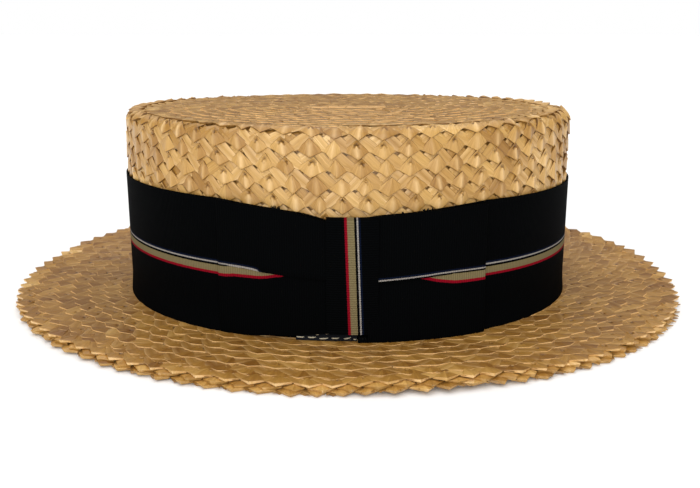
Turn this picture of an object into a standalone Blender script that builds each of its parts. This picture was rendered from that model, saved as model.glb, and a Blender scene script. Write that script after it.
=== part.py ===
"""Straw boater hat: sewn plait crown and brim, ribbon band and flat bow.

Metres, +Z up. The hat rests on its brim at z = 0, with the origin under the middle of the crown.
Its length runs along X, and the bow is on the -Y side.
"""
import math

import bpy
import bmesh

# Driving dimensions
CROWN_RADIUS = 0.0880      # half the crown's width across the bow side
OVAL_STRETCH = 0.0140      # what half the hat's length has over half its width
CROWN_REVEAL = 0.0297      # straw that shows above the ribbon, up to the top of the tip
SHOULDER_RADIUS = 0.0045   # rounding between tip and side
STRAW_WALL = 0.0020        # sewn plait, two straws and their lap
ROW_PITCH = 0.0070         # from one row of plait to the next
ROW_LAP = 0.0008           # how far a row's edge stands over the row that it laps
TOOTH_SPACING = 0.0094     # along a row of plait
TOOTH_DEPTH = 0.0028       # tip to notch of the plait's sawtooth edge
TIP_ROWS = 10              # rows of the tip that are shaped, from the shoulder inwards
BRIM_WIDTH = 0.0525        # from the crown to the brim's outer points
EDGE_WIDTH = 0.0090        # the doubled plait along the brim's edge
EDGE_LAYER = 0.0015        # thickness of the doubled plait
RIBBON_HEIGHT = 0.0520     # width of the grosgrain ribbon
RIBBON_WALL = 0.0009       # one ply of ribbon with its stiffening
BOW_OFFSET = 0.0018        # from the hat's middle to the knot's middle
WING_LENGTH = 0.0525       # from the knot's middle to a wing's outer fold
WING_LOFT = 0.0006         # air between a wing's two plies
WING_TOP_PINCH = 0.0048    # how far a wing's top edge draws in at the knot
PLEAT_DEPTH = 0.0009       # how far a wing's upper half stands over its lower half
KNOT_WIDTH = 0.0196        # across the wrap over the bow's middle
STRIP_START = -0.0200      # the stitched strip under the bow begins here along X
STRIP_LENGTH = 0.0236      # and is this long
STRIP_HEIGHT = 0.0014      # what shows of it below the bow
END_LENGTH = 0.0100        # the ragged ribbon end that follows it
GAP = 0.0003               # clearance between pieces that touch
AXIS_TOLERANCE = 0.0001    # nearer than this to the turning axis counts as on it

# Sizes that follow
BAND_BOTTOM = STRAW_WALL + GAP
BAND_TOP = BAND_BOTTOM + RIBBON_HEIGHT
BAND_RADIUS = CROWN_RADIUS + GAP + RIBBON_WALL
INNER_RADIUS = CROWN_RADIUS - STRAW_WALL
BRIM_RADIUS = CROWN_RADIUS + BRIM_WIDTH
CROWN_HEIGHT = BAND_TOP + CROWN_REVEAL

# A wing's heights, from its top edge to its bottom edge.
# proud is the share of the pleat's depth by which the ribbon stands out there.
WING_ROWS = (
    {"name": "top edge", "height": 1.00, "proud": 0.35},
    {"name": "upper half", "height": 0.76, "proud": 0.60},
    {"name": "fold edge", "height": 0.47, "proud": 1.00},
    {"name": "under the fold", "height": 0.44, "proud": 0.00},
    {"name": "bottom edge", "height": 0.00, "proud": 0.00},
)
# A wing's columns, from the knot's middle to the outer fold, as shares of its length.
# pleat is the share of the pleat that is left there.
WING_COLUMNS = (
    {"along": 0.00, "pleat": 1.00},
    {"along": 0.19, "pleat": 1.00},
    {"along": 0.34, "pleat": 0.75},
    {"along": 0.50, "pleat": 0.35},
    {"along": 0.66, "pleat": 0.00},
    {"along": 0.83, "pleat": 0.00},
    {"along": 1.00, "pleat": 0.00},
)


def clear_scene():
    for item in list(bpy.data.objects):
        bpy.data.objects.remove(item, do_unlink=True)


def make_material(name, color, roughness):
    material = bpy.data.materials.new(name)
    material.use_nodes = True
    shader = material.node_tree.nodes["Principled BSDF"]
    shader.inputs["Base Color"].default_value = (*color, 1.0)
    shader.inputs["Roughness"].default_value = roughness
    shader.inputs["Metallic"].default_value = 0.0
    return material


def finish(piece, collection, material):
    """Put a piece in the hat's collection, with its material and smooth shading."""
    for other in list(piece.users_collection):
        other.objects.unlink(piece)
    collection.objects.link(piece)
    piece.data.materials.clear()
    piece.data.materials.append(material)
    if piece.type == "MESH":
        piece.data.shade_smooth()
        piece.data.set_sharp_from_angle(angle=math.radians(30))
    return piece


def oval_point(angle, radius):
    """A point of the oval whose half width is radius, at an angle from +X."""
    return (radius + OVAL_STRETCH) * math.cos(angle), radius * math.sin(angle)


def bow_point(across, radius):
    """The point of the oval on the bow's side that lies across from its middle."""
    turn = math.asin(max(-1.0, min(1.0, across / (radius + OVAL_STRETCH))))
    return oval_point(turn - math.pi / 2, radius)


def teeth_round(radius):
    """How many teeth of plait fit round the oval at a radius."""
    long_half = radius + OVAL_STRETCH
    length = 2 * math.pi * math.sqrt((long_half ** 2 + radius ** 2) / 2)
    return round(length / TOOTH_SPACING)


def turned(name, profile, steps, closed):
    """Turn a profile of (radius, height) about Z, and return it as a plain mesh object."""
    mesh = bpy.data.meshes.new(name + "_profile")
    edges = [(i, i + 1) for i in range(len(profile) - 1)]
    if closed:
        edges.append((len(profile) - 1, 0))
    mesh.from_pydata([(radius, 0.0, height) for radius, height in profile], edges, [])
    lathe = bpy.data.objects.new(name + "_profile", mesh)
    bpy.context.scene.collection.objects.link(lathe)
    screw = lathe.modifiers.new("Turn", "SCREW")
    screw.axis = "Z"
    screw.steps = steps
    screw.render_steps = steps
    screw.use_merge_vertices = True
    screw.merge_threshold = 0.00001
    graph = bpy.context.evaluated_depsgraph_get()
    result = bpy.data.meshes.new_from_object(lathe.evaluated_get(graph))
    result.name = name
    bpy.data.objects.remove(lathe, do_unlink=True)
    bpy.data.meshes.remove(mesh)
    piece = bpy.data.objects.new(name, result)
    bpy.context.scene.collection.objects.link(piece)
    return piece


def step_of(vertex, steps):
    """Which step of the turning a vertex belongs to."""
    return round(math.atan2(vertex.co.y, vertex.co.x) / (2 * math.pi) * steps) % steps


def halve_steps(shape, steps, is_fine):
    """Merge the steps in pairs wherever the surface needs no teeth."""
    targets = {}
    rings = {}
    for vertex in shape.verts:
        radius = math.hypot(vertex.co.x, vertex.co.y)
        if radius < AXIS_TOLERANCE or is_fine(radius, vertex.co.z):
            continue
        key = (round(radius, 6), round(vertex.co.z, 6))
        rings.setdefault(key, {})[step_of(vertex, steps)] = vertex
    for ring in rings.values():
        for step in range(1, steps, 2):
            if step in ring and step - 1 in ring:
                targets[ring[step]] = ring[step - 1]
    bmesh.ops.weld_verts(shape, targetmap=targets)


def stretch(shape):
    """Draw a turned shape out along X into the hat's oval."""
    for vertex in shape.verts:
        radius = math.hypot(vertex.co.x, vertex.co.y)
        if radius > AXIS_TOLERANCE:
            vertex.co.x += OVAL_STRETCH * vertex.co.x / radius


def crown_row_edges():
    """Heights of the side's row edges, from the shoulder down to the ribbon."""
    edges = []
    height = CROWN_HEIGHT - SHOULDER_RADIUS - TOOTH_DEPTH / 2 - GAP
    while height - TOOTH_DEPTH / 2 > BAND_TOP + GAP:
        edges.append(height)
        height -= ROW_PITCH
    return edges


def crown_profile(side_edges):
    """The crown's section: out over the tip, down the side, and back up inside."""
    shoulder_start = CROWN_RADIUS - SHOULDER_RADIUS
    proud = CROWN_RADIUS + ROW_LAP / 2
    sunk = CROWN_RADIUS - ROW_LAP / 2
    profile = [(0.0, CROWN_HEIGHT)]
    for row in range(TIP_ROWS, 0, -1):
        edge = shoulder_start - (row - 0.5) * ROW_PITCH
        if edge > ROW_PITCH:
            profile.append((edge, CROWN_HEIGHT))
            profile.append((edge, CROWN_HEIGHT - ROW_LAP))
    for turn in (90, 60, 30, 0):
        angle = math.radians(turn)
        profile.append((shoulder_start + SHOULDER_RADIUS * math.cos(angle),
                        CROWN_HEIGHT - SHOULDER_RADIUS * (1 - math.sin(angle))))
    for height in side_edges:
        profile.append((proud, height))
        profile.append((sunk, height))
    profile.append((sunk, BAND_TOP))
    profile.append((CROWN_RADIUS, BAND_TOP - ROW_PITCH))
    profile.append((CROWN_RADIUS, BAND_BOTTOM))
    profile.append((INNER_RADIUS, BAND_BOTTOM))
    inner_shoulder = max(SHOULDER_RADIUS - STRAW_WALL, STRAW_WALL / 2)
    ceiling = CROWN_HEIGHT - ROW_LAP - STRAW_WALL
    for turn in (0, 45, 90):
        angle = math.radians(turn)
        profile.append((INNER_RADIUS - inner_shoulder * (1 - math.cos(angle)),
                        ceiling - inner_shoulder * (1 - math.sin(angle))))
    profile.append((0.0, ceiling))
    return profile


def build_crown():
    """Tip and side in one hollow shell, each row of plait lapping the next with its teeth."""
    steps = 2 * teeth_round(CROWN_RADIUS)
    side_edges = crown_row_edges()
    piece = turned("crown", crown_profile(side_edges), steps, closed=False)
    shape = bmesh.new()
    shape.from_mesh(piece.data)
    lowest_edge = side_edges[-1] if side_edges else CROWN_HEIGHT

    def has_teeth(radius, height):
        outside = radius > CROWN_RADIUS - ROW_LAP
        return outside and lowest_edge - ROW_LAP < height < CROWN_HEIGHT - SHOULDER_RADIUS

    halve_steps(shape, steps, has_teeth)
    for vertex in shape.verts:
        radius = math.hypot(vertex.co.x, vertex.co.y)
        for row, height in enumerate(side_edges):
            if radius > CROWN_RADIUS - ROW_LAP and abs(vertex.co.z - height) < GAP / 2:
                side = 1 if (step_of(vertex, steps) + row) % 2 else -1
                vertex.co.z += side * TOOTH_DEPTH / 2
                break
    stretch(shape)
    shape.to_mesh(piece.data)
    shape.free()
    return piece


def brim_profile():
    """The brim's section: rows lapping outwards on top, flat underneath."""
    notch = BRIM_RADIUS - TOOTH_DEPTH / 2
    profile = [(INNER_RADIUS, STRAW_WALL)]
    edge = CROWN_RADIUS + ROW_PITCH
    while edge < BRIM_RADIUS - EDGE_WIDTH - ROW_PITCH / 2:
        profile.append((edge, STRAW_WALL))
        profile.append((edge, STRAW_WALL - ROW_LAP))
        edge += ROW_PITCH
    profile.append((BRIM_RADIUS - EDGE_WIDTH, STRAW_WALL))
    profile.append((notch, STRAW_WALL))
    profile.append((notch, 0.0))
    profile.append((BRIM_RADIUS - EDGE_WIDTH, 0.0))
    profile.append((INNER_RADIUS, 0.0))
    return profile


def build_brim():
    """The flat oval brim, with a sawtooth round its outer edge."""
    steps = 2 * teeth_round(BRIM_RADIUS)
    piece = turned("brim", brim_profile(), steps, closed=True)
    shape = bmesh.new()
    shape.from_mesh(piece.data)
    rim = BRIM_RADIUS - TOOTH_DEPTH

    def on_rim(radius, height):
        return radius > rim

    halve_steps(shape, steps, on_rim)
    for vertex in shape.verts:
        radius = math.hypot(vertex.co.x, vertex.co.y)
        if on_rim(radius, vertex.co.z):
            side = 1 if step_of(vertex, steps) % 2 else -1
            share = (radius + side * TOOTH_DEPTH / 2) / radius
            vertex.co.x *= share
            vertex.co.y *= share
    stretch(shape)
    shape.to_mesh(piece.data)
    shape.free()
    return piece


def add_ring(curve, points):
    spline = curve.splines.new("POLY")
    spline.points.add(len(points) - 1)
    for target, (x, y) in zip(spline.points, points):
        target.co = (x, y, 0.0, 1.0)
    spline.use_cyclic_u = True


def build_brim_edge():
    """The second layer of plait along the edge, its teeth between those below."""
    teeth = teeth_round(BRIM_RADIUS)
    outer = []
    for step in range(2 * teeth):
        radius = BRIM_RADIUS if step % 2 == 0 else BRIM_RADIUS - TOOTH_DEPTH
        outer.append(oval_point(math.pi * step / teeth, radius))
    inner = [oval_point(2 * math.pi * step / teeth, BRIM_RADIUS - EDGE_WIDTH)
             for step in range(teeth)]
    curve = bpy.data.curves.new("brim_edge", "CURVE")
    curve.dimensions = "2D"
    curve.fill_mode = "BOTH"
    curve.extrude = EDGE_LAYER / 2
    add_ring(curve, outer)
    add_ring(curve, inner)
    piece = bpy.data.objects.new("brim_edge", curve)
    piece.location.z = STRAW_WALL + GAP + EDGE_LAYER / 2
    bpy.context.scene.collection.objects.link(piece)
    return piece


def build_band():
    """The ribbon round the crown."""
    inner = BAND_RADIUS - RIBBON_WALL
    profile = [(inner, BAND_TOP), (BAND_RADIUS, BAND_TOP),
               (BAND_RADIUS, BAND_BOTTOM), (inner, BAND_BOTTOM)]
    steps = teeth_round(CROWN_RADIUS)
    piece = turned("ribbon_band", profile, steps, closed=True)
    shape = bmesh.new()
    shape.from_mesh(piece.data)
    stretch(shape)
    shape.to_mesh(piece.data)
    shape.free()
    return piece


def sheet_piece(name, columns, rows, place):
    """A wall of ribbon: a grid whose points are placed one by one, then thickened."""
    mesh = bpy.data.meshes.new(name)
    shape = bmesh.new()
    bmesh.ops.create_grid(shape, x_segments=columns - 1, y_segments=rows - 1, size=0.5)
    for vertex in shape.verts:
        column = round((vertex.co.x + 0.5) * (columns - 1))
        row = round((vertex.co.y + 0.5) * (rows - 1))
        vertex.co = place(column, row)
    shape.to_mesh(mesh)
    shape.free()
    piece = bpy.data.objects.new(name, mesh)
    bpy.context.scene.collection.objects.link(piece)
    wall = piece.modifiers.new("Wall", "SOLIDIFY")
    wall.thickness = RIBBON_WALL
    wall.offset = 0.0
    wall.use_even_offset = True
    return piece


def wing_depths():
    """How far a wing's back ply and front ply stand from the band, to the middle of each."""
    back = GAP + RIBBON_WALL / 2
    return back, back + RIBBON_WALL + WING_LOFT


def wing_path():
    """A wing's loop: (distance along, depth, pleat), out along the front and back behind."""
    back, front = wing_depths()
    bend = (front - back) / 2
    path = []
    for column in WING_COLUMNS:
        along = column["along"] * (WING_LENGTH - bend - RIBBON_WALL / 2)
        path.append((max(along, GAP), front, column["pleat"]))
    last = WING_LENGTH - bend - RIBBON_WALL / 2
    path.append((last + bend, (front + back) / 2, 0.0))
    for column in reversed(WING_COLUMNS):
        along = column["along"] * (WING_LENGTH - bend - RIBBON_WALL / 2)
        path.append((max(along, GAP), back, 0.0))
    return path


def wing_heights(along):
    """Bottom and top of a wing at a distance from the knot's middle.

    At the knot the bottom edge is drawn in enough for the wrap and the strip beneath it.
    """
    share = max(0.0, 1 - along / WING_LENGTH)
    share_at_knot = 1 - KNOT_WIDTH / 2 / WING_LENGTH
    foot_pinch = (STRIP_HEIGHT + RIBBON_WALL + 2 * GAP) / share_at_knot
    return BAND_BOTTOM + foot_pinch * share, BAND_TOP - WING_TOP_PINCH * share


def build_wing(name, side):
    """One loop of the flat bow. side is -1 for the left and 1 for the right."""
    path = wing_path()

    def place(column, row):
        along, depth, pleat = path[column]
        bottom, top = wing_heights(along)
        section = WING_ROWS[row]
        radius = BAND_RADIUS + depth + PLEAT_DEPTH * pleat * section["proud"]
        x, y = bow_point(BOW_OFFSET + side * along, radius)
        return x, y, bottom + (top - bottom) * section["height"]

    return sheet_piece(name, len(path), len(WING_ROWS), place)


def build_knot():
    """The wrap of ribbon over the bow's middle, its ends turned in over the wings' edges."""
    clearance = GAP + RIBBON_WALL / 2
    near = clearance
    far = wing_depths()[1] + PLEAT_DEPTH + RIBBON_WALL + GAP
    columns = 7
    rows = 7

    def place(column, row):
        across = KNOT_WIDTH * (column / (columns - 1) - 0.5)
        bottom, top = wing_heights(abs(across))
        low = bottom - clearance
        high = top + clearance
        section = [(near, low), (far - RIBBON_WALL, low), (far, low + RIBBON_WALL),
                   (far, (high + low) / 2),
                   (far, high - RIBBON_WALL), (far - RIBBON_WALL, high), (near, high)]
        depth, height = section[row]
        x, y = bow_point(BOW_OFFSET + across, BAND_RADIUS + depth)
        return x, y, height

    return sheet_piece("bow_knot", columns, rows, place)


def build_foot_piece(name, start, length):
    """A low upright strip along the foot of the band, between the brim and the bow."""
    columns = 6
    depth = GAP + RIBBON_WALL / 2
    farthest = max(abs(start - BOW_OFFSET), abs(start + length - BOW_OFFSET))
    top = min(BAND_BOTTOM + STRIP_HEIGHT, wing_heights(farthest)[0] - GAP)

    def place(column, row):
        x, y = bow_point(start + length * column / (columns - 1), BAND_RADIUS + depth)
        return x, y, (BAND_BOTTOM, top)[row]

    return sheet_piece(name, columns, 2, place)


def main():
    clear_scene()
    hat = bpy.data.collections.new("straw_boater_hat")
    bpy.context.scene.collection.children.link(hat)
    straw = make_material("varnished_straw", (0.48, 0.30, 0.11), 0.42)
    ribbon = make_material("black_grosgrain", (0.006, 0.006, 0.008), 0.70)
    strip = make_material("grey_tape", (0.03, 0.035, 0.045), 0.70)
    finish(build_crown(), hat, straw)
    finish(build_brim(), hat, straw)
    finish(build_brim_edge(), hat, straw)
    finish(build_band(), hat, ribbon)
    finish(build_wing("bow_left_wing", -1), hat, ribbon)
    finish(build_wing("bow_right_wing", 1), hat, ribbon)
    finish(build_knot(), hat, ribbon)
    finish(build_foot_piece("edge_strip", STRIP_START, STRIP_LENGTH), hat, strip)
    end_start = STRIP_START + STRIP_LENGTH + GAP
    finish(build_foot_piece("band_end", end_start, END_LENGTH), hat, ribbon)


if __name__ == "__main__":
    main()
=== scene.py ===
"""Straw boater hat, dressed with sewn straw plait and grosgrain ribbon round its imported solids."""
import math

import bpy
import numpy as np
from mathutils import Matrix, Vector


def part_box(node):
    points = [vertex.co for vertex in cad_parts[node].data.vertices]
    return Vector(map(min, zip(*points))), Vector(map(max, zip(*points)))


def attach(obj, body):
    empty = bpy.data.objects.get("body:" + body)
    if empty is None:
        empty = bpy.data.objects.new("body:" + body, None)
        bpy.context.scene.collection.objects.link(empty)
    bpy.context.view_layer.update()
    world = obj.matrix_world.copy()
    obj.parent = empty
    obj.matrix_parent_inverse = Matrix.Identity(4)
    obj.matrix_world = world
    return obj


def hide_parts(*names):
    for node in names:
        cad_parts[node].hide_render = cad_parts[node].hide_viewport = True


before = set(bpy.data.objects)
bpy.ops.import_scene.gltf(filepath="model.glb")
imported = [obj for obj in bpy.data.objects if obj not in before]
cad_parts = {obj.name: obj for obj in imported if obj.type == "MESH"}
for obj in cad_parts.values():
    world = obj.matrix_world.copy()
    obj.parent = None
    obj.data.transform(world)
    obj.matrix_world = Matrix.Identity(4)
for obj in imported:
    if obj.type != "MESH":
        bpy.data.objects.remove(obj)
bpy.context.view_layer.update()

bl_info = {
    "name": "Straw boater hat",
    "version": (1, 0, 0),
    "blender": (4, 5, 0),
    "location": "3D View > Sidebar > Boater",
    "description": "Builds a boater hat of sewn straw plait with its ribbon band and flat bow",
    "category": "Add Mesh",
}

MM = 0.001
BAND_LOW, BAND_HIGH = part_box("ribbon_band")
KNOT_LOW, KNOT_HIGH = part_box("bow_knot")
CROWN_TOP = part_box("crown")[1].z
BRIM_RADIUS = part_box("brim")[1].y
BAND_RADIUS = BAND_HIGH.y
OVAL_STRETCH = BAND_HIGH.x - BAND_HIGH.y
CROWN_RADIUS = BAND_RADIUS - 1.2 * MM
RIBBON_WIDTH = BAND_HIGH.z - BAND_LOW.z
BOW_MIDDLE = (KNOT_LOW.x + KNOT_HIGH.x) / 2
WING_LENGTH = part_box("bow_right_wing")[1].x - BOW_MIDDLE
FRONT = -math.pi / 2        # the bow's side of the hat, as an angle from +X

SHOULDER = 5.0 * MM         # rounding between tip and side
STRAW_RELIEF = 1.7 * MM     # from the cloth of straw beneath to the tops of the folds
INSIDE_RELIEF = 0.75 * MM   # the same on the pressed inner and lower sides
CELL_REACH = 11.0 * MM      # how far a row of plait goes back under the row that laps it
CROWN_CORE = 2.6 * MM       # from the outer envelope to the inner face of the straw wall
WALL_BREAK = 42 * MM        # below it the band hides the crown's wall, which is thicker there
PLAIT_END = 45 * MM         # below it the band hides the crown's side, which has no plait
START_RUN = 36 * MM         # the plait's straight start, in the middle of the tip
HEAD_HOLE = 86.2 * MM       # the upper rows of the brim come no further in
BRIM_START = 97.5 * MM      # the brim's upper spiral as it first passes the front
UNDER_START = 90.0 * MM     # the same of its lower one
LAST_ROW = 133.5 * MM       # the brim's last upper row, just inside the sawtooth edge
BRIM_FLAT = 98 * MM         # the brim's waves start outside this radius
RIBBON_FOOT = 0.9 * MM      # the ribbon's lower edges, under the brim's upper rows

# The sewn spiral of the crown, seen from its front: the turns of plait, and how far the row's
# points are from the middle of the tip there, in mm.
CROWN_ROWS = ((-12, 6.0), (-1, 83.0), (-0.5, 86.5), (-0.13, 88.3), (-0.06, 89.6), (0, 91.75),
              (13, 182.75))
# The plait starts as a short straight run, so rows reach the hat's ends sooner than its sides:
# the distance over the crown, and how much sooner, in mm.
END_SHIFTS = ((0, 0.0), (60, 6.0), (85, 6.0), (90, 10.5))
# An old brim is never quite flat: the angle in degrees from the hat's right end, and how far
# the brim's edge stands off the table there, in mm.
BRIM_WAVES = ((0, 0.5), (14, 2.3), (28, 3.3), (38, 3.8), (48, 3.4), (62, 3.0), (92, 1.4),
              (122, 3.4), (137, 4.8), (144, 4.3), (150, 2.9), (157, 2.6), (172, 0.6),
              (190, 0.3), (206, 0.8), (226, 0.8), (242, 0.5), (258, 0.1), (266, 0.0),
              (277, 1.3), (286, 1.5), (297, 0.2), (316, 0.0), (342, 0.0), (360, 0.5))


def linear(code):
    """A colour's sRGB hex code as linear red, green, blue."""
    parts = [int(code[i:i + 2], 16) / 255 for i in (1, 3, 5)]
    return [c / 12.92 if c <= 0.04045 else ((c + 0.055) / 1.055) ** 2.4 for c in parts]


def colour(name, description, code):
    return bpy.props.FloatVectorProperty(name=name, description=description, size=3,
                                         subtype="COLOR", min=0, max=1, default=linear(code))


def length(name, description, default):
    return bpy.props.FloatProperty(name=name, description=description, unit="LENGTH",
                                   min=0, precision=5, default=default)


class BoaterSizes(bpy.types.PropertyGroup):
    """Sizes of the plait and the ribbon."""
    tooth_spacing: length("Tooth spacing", "Along a row of plait, from point to point", 9.4 * MM)
    row_pitch: length("Row pitch", "From one row of plait to the next", 7.0 * MM)
    tooth_depth: length("Tooth depth", "From a point of the plait's edge to the notch", 3.1 * MM)
    fold_height: length("Fold height", "From the point of a folded straw to its top", 7.4 * MM)
    crease: length("Crease", "How far a folded straw stands up along its crease", 0.8 * MM)
    lap: length("Lap", "How far a row's points stand over the next row", 0.55 * MM)
    ribbon: length("Ribbon thickness", "One ply of grosgrain", 0.6 * MM)
    rib: length("Rib spacing", "From rib to rib of the grosgrain", 0.9 * MM)


class BoaterColours(bpy.types.PropertyGroup):
    """Colours of the straw and the ribbon."""
    straw_pale: colour("Pale straw", "The palest bleached straws", "#D0A45C")
    straw_gold: colour("Gold straw", "The most common straws", "#A97B36")
    straw_brown: colour("Brown straw", "The darkest straws", "#7E521A")
    # A pale colour for painted highlights on the folds' edges and ridges
    straw_sheen: colour("Straw edge", "The paler folded edges, polished by wear", "#ECC68C")
    # Dark brown of varnish pooled in the corners, and of painted shade round and under the folds
    varnish_and_shade: colour("Pooled varnish", "Varnish that gathered in the corners", "#38190A")
    ribbon_black: colour("Ribbon black", "The ribbon's ground", "#050607")
    stripe_white: colour("Stripe white", "The stripe's white line", "#9A958F")
    stripe_tan: colour("Stripe tan", "The stripe's broad middle", "#7C7050")
    stripe_red: colour("Stripe red", "The stripe's red line", "#860C1E")
    stripe_navy: colour("Stripe navy", "The thin line beside the white one", "#0D1426")
    tape: colour("Tape", "The stitched tape under the bow", "#14161B")
    thread: colour("Thread", "The stitches on the tape", "#C9BFA6")


# Shapes

def smooth_step(low, high, value):
    share = np.clip((value - low) / (high - low), 0, 1)
    return share * share * (3 - 2 * share)


def points_at(x, y, z):
    return np.stack(np.broadcast_arrays(x, y, z), axis=-1)


def oval_point(radius, angle):
    """x and y of a point of the hat's oval, radius being half the oval's width."""
    return (radius + OVAL_STRETCH) * np.cos(angle), radius * np.sin(angle)


def bow_point(across, radius):
    """The same on the bow's side, at a distance across from the hat's middle."""
    return oval_point(radius, np.arcsin(np.clip(across / (radius + OVAL_STRETCH), -1, 1)) + FRONT)


def on_oval(radius, angle, rise, out, up, height):
    """Points over an oval surface whose section has the normal (out, up)."""
    radius = np.maximum(radius, 0.3 * MM)
    x, y = oval_point(radius, angle)
    side_x = radius * np.cos(angle)
    side_y = (radius + OVAL_STRETCH) * np.sin(angle)
    size = np.hypot(side_x, side_y)
    return points_at(x + height * out * side_x / size, y + height * out * side_y / size,
                     np.maximum(rise + height * up, 0.02 * MM))


def crown_outside(distance, angle, height):
    """Over the crown's straw: distance runs out over the tip and down the side."""
    start = CROWN_RADIUS - SHOULDER
    turn = np.clip((distance - start) / SHOULDER, 0, math.pi / 2)
    radius = np.minimum(distance, start) + SHOULDER * np.sin(turn)
    drop = np.maximum(distance - start - SHOULDER * math.pi / 2, 0)
    rise = CROWN_TOP - SHOULDER * (1 - np.cos(turn)) - drop
    return on_oval(radius, angle, rise, np.sin(turn), np.cos(turn), height - STRAW_RELIEF)


def crown_inside(distance, angle, height):
    return crown_outside(distance, angle, STRAW_RELIEF - CROWN_CORE - height)


def brim_lift(radius, angle):
    """How far the brim stands off the table."""
    marks, lifts = np.multiply(BRIM_WAVES, (1, MM)).T
    turned = np.degrees(angle) % 360
    after = np.clip(np.searchsorted(marks, turned, side="right"), 1, len(marks) - 1)
    share = smooth_step(marks[after - 1], marks[after], turned)
    lift = lifts[after - 1] * (1 - share) + lifts[after] * share
    return lift * smooth_step(BRIM_FLAT, BRIM_RADIUS, radius)


def brim_rise(radius):
    """Height of the straw under the brim's upper rows."""
    return (0.8 + 1.8 * smooth_step(93 * MM, 131 * MM, radius)) * MM


def brim_above(distance, angle, height):
    rise = brim_rise(distance) + brim_lift(distance, angle)
    pressed = 0.6 + 0.4 * smooth_step(90 * MM, 112 * MM, distance)
    return on_oval(distance, angle, rise, 0.0, 1.0, height * pressed)


def brim_below(distance, angle, height):
    rise = INSIDE_RELIEF + brim_lift(distance, angle)
    return on_oval(distance, angle, rise, 0.0, -1.0, height)


def brim_layer(rise):
    """A surface for one of the layers of plait that make the brim's edge."""
    def place(distance, angle, height):
        return on_oval(distance, angle, rise + brim_lift(distance, angle), 0.0, 1.0, height)
    return place


def crown_line(turns):
    """Angle and distance of the crown's spiral after a number of turns."""
    angle = 2 * math.pi * turns + FRONT
    distance = np.interp(turns, *np.multiply(CROWN_ROWS, (1, MM)).T)
    shift = np.interp(distance, *np.multiply(END_SHIFTS, MM).T)
    return angle, distance - shift * np.cos(angle) ** 2


def inside_line(turns):
    angle, distance = crown_line(turns)
    return angle, distance - bpy.context.scene.boater_sizes.row_pitch / 2


def spiral_line(start):
    """A row that winds outwards over the brim, start being its radius at the front."""
    pitch = bpy.context.scene.boater_sizes.row_pitch
    return lambda turns: (2 * math.pi * turns + FRONT, start + pitch * turns)


def ring_line(radius, phase=0.0, drawn_in=0.0):
    """A closed row at one radius, drawn in a little on the bow's side."""
    def line(turns):
        angle = 2 * math.pi * turns + FRONT + phase
        return angle, radius - drawn_in * np.clip(-np.sin(angle), 0, 1)
    return line


# Plait

def grid_tile(along, across, creased, tuck=0.0):
    """A closed tile over a grid, as template points, faces and sides.

    A creased tile folds along its diagonal. Its face kinds are 0 right, 1 left, 2 wall.
    tuck is how much smaller its underside is, so that its edge looks rolled under.
    """
    p, q = np.meshgrid(along, across, indexing="ij")
    rows, columns = p.shape
    number = np.arange(rows * columns).reshape(rows, columns)
    faces = []
    kinds = []
    for i in range(rows - 1):
        for j in range(columns - 1):
            a, b = number[i, j], number[i, j + 1]
            c, d = number[i + 1, j + 1], number[i + 1, j]
            if creased and i == j:
                faces += [[a, b, c], [a, c, d]]
                kinds += [1, 0]
            else:
                faces.append([a, b, c, d])
                kinds.append(1 if creased and j > i else 0)
    top, right, low, left = range(rows * columns, rows * columns + 4)
    faces.append([*number[:, 0], right, top])
    faces.append([*number[-1, :], low, right])
    faces.append([*number[::-1, -1], left, low])
    faces.append([*number[0, ::-1], top, left])
    faces.append([top, right, low, left])
    kinds += [2] * 5
    p = np.append(p.ravel(), [tuck, 1 - tuck, 1 - tuck, tuck])
    q = np.append(q.ravel(), [tuck, tuck, 1 - tuck, 1 - tuck])
    under = np.zeros(len(p), bool)
    under[-4:] = True
    return {"p": p, "q": q, "under": under, "faces": faces, "kinds": kinds,
            "rows": rows, "columns": columns}


PINCHED = 0.55      # the share of the folded straws that a stitch pinches
FINE_STEPS = (0.0, 0.03, 0.22, 0.34, 0.52, 0.76, 0.97, 1.0)
PLAIN_STEPS = (0.0, 0.07, 0.5, 0.93, 1.0)
STRAP_STEPS = (0.0, 0.34, 0.67, 1.0)
STRAP_SIDES = (0.0, 0.08, 0.5, 0.92, 1.0)


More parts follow.
